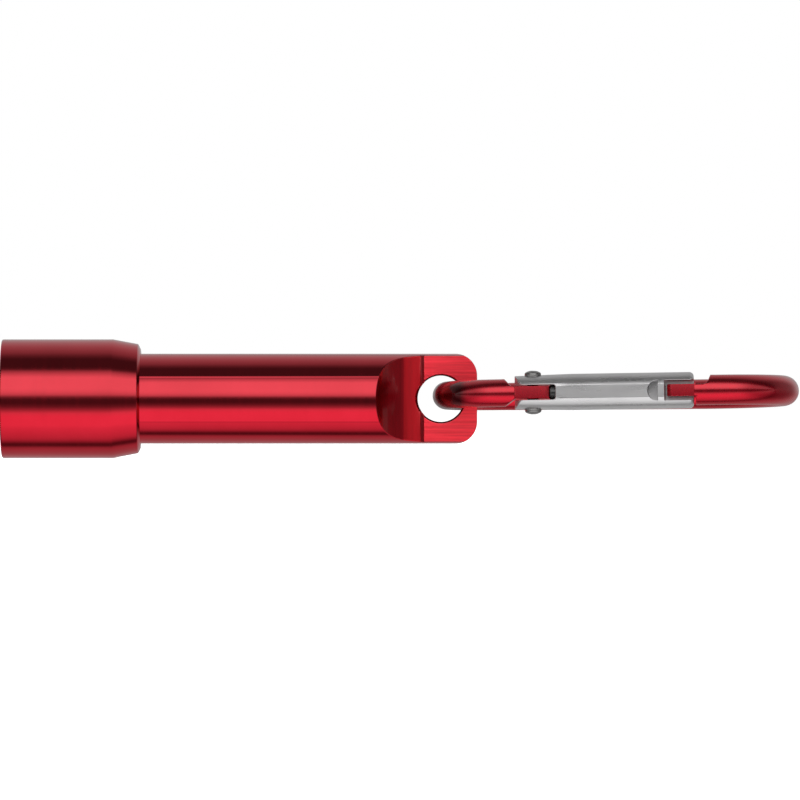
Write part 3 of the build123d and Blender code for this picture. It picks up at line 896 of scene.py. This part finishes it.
# The tight bend that hangs in the tail hole has painted shade: its colour is darker than the rest.
rod_tree = red_rod.node_tree
rod_painted_hole_shade = along_x(rod_tree, painted_shade_bend_end - 0.003, painted_shade_bend_end)
rod_tone = tinted(rod_tree, rod_painted_hole_shade, (0.16, 0.006, 0.012), (0.78, 0.014, 0.037))
rod_tree.links.new(rod_tone, rod_shader.inputs["Base Color"])
piece("carabiner_rod", clip_form, leg, "carabiner", red_rod, "clip_body", edge=0.09)

# ---------------------------------------------------------------- gate
# A turned bar of bare aluminium: forked round the hinge tongue, grooved for the nose, with
# a narrow pressing flat outside and a bore for the spring that shuts it.
gate_start = 1.64
gate_end = 30.07
gate_hinge_radius = 2.65
gate_radius = 2.88
gate_swell_end = 10.6
fork_half_gap = 1.2
fork_end = 8.2
groove_half_width = 1.6
groove_floor = 1.4
groove_inner_end = 22.75
web_start = 24.36
web_end = 25.45
press_flat = 2.7
spring_bore_radius = 1.25
spring_bore_end = 18.0
spot_face = 2.45
rivet_radius = 0.9
spot_radius = 1.38

gate_form = turned(
    rounded(
        [
            (gate_start, 0),
            (gate_start, gate_hinge_radius),
            (gate_swell_end, gate_radius, 20),
            (gate_end, gate_radius, 0.7),
            (gate_end, 0),
        ],
        steps=10,
    ),
    segments=128,
)
ear_reach = rivet_distance - gate_start
stand_up = Matrix.Translation((rivet_distance, 0, 0)) @ Matrix.Rotation(-math.pi / 2, 4, "Y")
counterbore = turned(
    [
        (-5, 0),
        (-5, spot_radius),
        (-spot_face, spot_radius),
        (-spot_face, rivet_radius),
        (spot_face, rivet_radius),
        (spot_face, spot_radius),
        (5, spot_radius),
        (5, 0),
    ],
    segments=64,
)
bmesh.ops.transform(counterbore, matrix=stand_up, verts=counterbore.verts)
gate_tools = [
    prism(
        [(rivet_distance, 5), (0, 5), (0, -5), (rivet_distance, -5)]
        + arc((rivet_distance, 0), ear_reach, 270, 90, 64),
        -5,
        5,
    ),
    prism(rectangle(rivet_distance, gate_end + 1, -5, -press_flat), -5, 5),
    prism(
        rounded(
            [
                (0, -fork_half_gap),
                (fork_end, -fork_half_gap, 0.45),
                (fork_end, fork_half_gap, 0.45),
                (0, fork_half_gap),
            ]
        ),
        -5,
        5,
        "xz",
    ),
    prism(
        [(web_start, -groove_half_width), (web_start, groove_half_width)]
        + arc((groove_inner_end + groove_half_width, 0), groove_half_width, 90, 270, 40),
        -5,
        groove_floor,
        "xz",
    ),
    prism(
        rounded(
            [
                (web_end, -groove_half_width, 0.15),
                (gate_end + 1, -groove_half_width),
                (gate_end + 1, groove_half_width),
                (web_end, groove_half_width, 0.15),
            ]
        ),
        -5,
        groove_floor,
        "xz",
    ),
    turned(
        [
            (fork_end - 1, 0),
            (fork_end - 1, spring_bore_radius),
            (spring_bore_end, spring_bore_radius),
            (spring_bore_end, 0),
        ],
        segments=64,
    ),
    counterbore,
]
gate_form = carved(gate_form, gate_tools)
bare_aluminium, bare_shader = worked(
    "bare_aluminium", (0.7, 0.69, 0.695), (0.8, 0.79, 0.795), (0.25, 0.36), (0.06, 1, 1), 1600, 0.000002
)
bare_shader.inputs["Metallic"].default_value = 0.95
piece("gate_bar", gate_form, leg, "gate", bare_aluminium, "gate", edge=0.1)

# ---------------------------------------------------------------- rivet, plunger, spring
# A steel rivet is hammered over at both ends of the gate's ears. A steel plunger and its
# coil spring in the gate's bore press on the hinge tongue.
head_radius_mm = 1.33
head_level = 3.5
plunger_front = 7.17
plunger_back = 10.0
plunger_radius = 1.2
gate_coil_radius = 0.85
gate_wire_radius = 0.2
gate_coil_turns = 9

dome = [(head_level - 0.42 * (r / head_radius_mm) ** 2.6, r) for r in (0, 0.3, 0.6, 0.85, 1.05, 1.2, 1.29)]
rivet_side = dome + [
    (head_level - 0.6, head_radius_mm),
    (spot_face, head_radius_mm),
    (spot_face, rivet_radius),
]
rivet_form = turned(rivet_side + [(-level, radius) for level, radius in reversed(rivet_side)], segments=72)
for vert in rivet_form.verts:
    if abs(vert.co.x) > spot_face + 0.1:
        dent = 0.5 + 0.5 * noise.noise(vert.co * 1.9)
        vert.co.x -= math.copysign(0.07 * dent, vert.co.x)
        vert.co.y *= 1 - 0.03 * dent
        vert.co.z *= 1 - 0.02 * dent
peened_steel = worked(
    "peened_steel", (0.33, 0.32, 0.32), (0.45, 0.44, 0.43), (0.24, 0.4), scale=1500, depth=0.00001
)[0]
piece("rivet_peened", rivet_form, leg @ stand_up, "gate", peened_steel, "gate_rivet")

plunger_form = turned(
    rounded(
        [
            (plunger_front, 0),
            (plunger_front, plunger_radius, 0.25),
            (plunger_back, plunger_radius, 0.1),
            (plunger_back, 0),
        ]
    ),
    segments=64,
)
piece("plunger_pin", plunger_form, leg, "plunger", spring_wire, "gate_plunger")
gate_sizes = (gate_coil_radius, gate_wire_radius, gate_coil_turns)
spring("gate_coil", gate_sizes, (plunger_back, spring_bore_end), leg, "gate_spring")

# ---------------------------------------------------------------- table and studio
# A matt white table top under an even white background, lit by a large soft box in
# front and above, with dark gaps beside it that give the polished metal its stripes.
table_size = 12.0
backdrop_radius = 8.0
camera_distance = 1.3
picture_width = 0.128
picture_centre = Vector((-0.00007, 0, 0.0093))

table_finish, _, table_shader = new_finish("table_white")
table_shader.inputs["Base Color"].default_value = (0.9, 0.9, 0.9, 1)
table_shader.inputs["Roughness"].default_value = 0.9
table_shader.inputs["Specular IOR Level"].default_value = 0.0
table_shader.inputs["Emission Color"].default_value = (1, 1, 1, 1)
table_shader.inputs["Emission Strength"].default_value = 0.82
table_form = bmesh.new()
bmesh.ops.create_grid(table_form, x_segments=1, y_segments=1, size=table_size / 2)
table = placed("table", table_form, table_finish)
table.visible_glossy = False

backdrop_finish, backdrop_tree, _ = new_finish("backdrop_white")
glow = backdrop_tree.nodes.new("ShaderNodeEmission")
glow.inputs["Color"].default_value = (1, 1, 1, 1)
backdrop_tree.links.new(
    glow.outputs["Emission"], backdrop_tree.nodes["Material Output"].inputs["Surface"]
)
backdrop_form = bmesh.new()
bmesh.ops.create_icosphere(backdrop_form, subdivisions=4, radius=backdrop_radius)
backdrop = placed("backdrop", backdrop_form, backdrop_finish)
for ray in ("glossy", "diffuse", "transmission", "shadow"):
    setattr(backdrop, "visible_" + ray, False)

world = bpy.data.worlds.new("studio_room")
bpy.context.scene.world = world
world.use_nodes = True
room = world.node_tree
# Brightness of the room by the angle round the light's axis, in degrees: 0 is level in
# front, 90 straight up, 180 level behind and -90 straight down.
room_bands = [
    (-180, 0.42),
    (-132, 0.38),
    (-117, 0.4),
    (-111, 0.34),
    (-104, 0.1),
    (-98, 0.1),
    (-91, 0.34),
    (-86, 0.52),
    (-80, 0.63),
    (-60, 0.85),
    (-53, 0.98),
    (-36, 1.0),
    (-29, 0.88),
    (-22, 0.4),
    (-16, 0.16),
    (-9, 0.07),
    (-1, 0.07),
    (3.5, 0.2),
    (8, 0.7),
    (14, 0.95),
    (20, 1.05),
    (42, 1.03),
    (53, 0.48),
    (59, 0.1),
    (64, 0.055),
    (84, 0.055),
    (92, 0.12),
    (101, 0.24),
    (114, 0.33),
    (130, 0.4),
    (180, 0.42),
]
toward = room.nodes.new("ShaderNodeTexCoord")
apart = room.nodes.new("ShaderNodeSeparateXYZ")
level = room.nodes.new("ShaderNodeMath")
level.operation = "MULTIPLY"
level.inputs[1].default_value = -1
around = room.nodes.new("ShaderNodeMath")
around.operation = "ARCTAN2"
share = room.nodes.new("ShaderNodeMapRange")
share.inputs["From Min"].default_value = -math.pi
share.inputs["From Max"].default_value = math.pi
bands = room.nodes.new("ShaderNodeValToRGB")
room.links.new(toward.outputs["Generated"], apart.inputs["Vector"])
room.links.new(apart.outputs["Y"], level.inputs[0])
room.links.new(apart.outputs["Z"], around.inputs[0])
room.links.new(level.outputs["Value"], around.inputs[1])
room.links.new(around.outputs["Value"], share.inputs["Value"])
room.links.new(share.outputs["Result"], bands.inputs["Fac"])
room.links.new(bands.outputs["Color"], room.nodes["Background"].inputs["Color"])
# The soft boxes are not endless: past their ends, to the left and right, the room is dim.
sideways = room.nodes.new("ShaderNodeMath")
sideways.operation = "ABSOLUTE"
box_end = room.nodes.new("ShaderNodeMapRange")
box_end.inputs["From Min"].default_value = 0.5
box_end.inputs["From Max"].default_value = 0.75
box_end.inputs["To Min"].default_value = 1.0
box_end.inputs["To Max"].default_value = 0.45
room.links.new(apart.outputs["X"], sideways.inputs[0])
room.links.new(sideways.outputs["Value"], box_end.inputs["Value"])
room.links.new(box_end.outputs["Result"], room.nodes["Background"].inputs["Strength"])
stops = bands.color_ramp.elements
stops.remove(stops[1])
for index, (angle, brightness) in enumerate(room_bands):
    place = (angle + 180) / 360
    stop = stops[0] if index == 0 else stops.new(place)
    stop.position = place
    stop.color = (brightness, brightness, brightness, 1)

overhead = bpy.data.lights.new("overhead_softbox", "AREA")
overhead.size = 1.6
overhead.energy = 22
overhead_box = bpy.data.objects.new("overhead_softbox", overhead)
overhead_box.location = (0, -0.3, 1.3)
overhead_box.rotation_euler = (-overhead_box.location).to_track_quat("-Z", "Y").to_euler()
overhead_box.visible_glossy = False
bpy.context.scene.collection.objects.link(overhead_box)

camera = bpy.data.cameras.new("camera")
camera.sensor_width = 36
camera.lens = camera.sensor_width * camera_distance / picture_width
camera.clip_end = 30
viewer = bpy.data.objects.new("camera", camera)
viewer.location = picture_centre - Vector((0, camera_distance, 0))
viewer.rotation_euler = (math.pi / 2, 0, 0)
bpy.context.scene.collection.objects.link(viewer)
bpy.context.scene.camera = viewer
bpy.context.scene.view_settings.view_transform = "Standard"
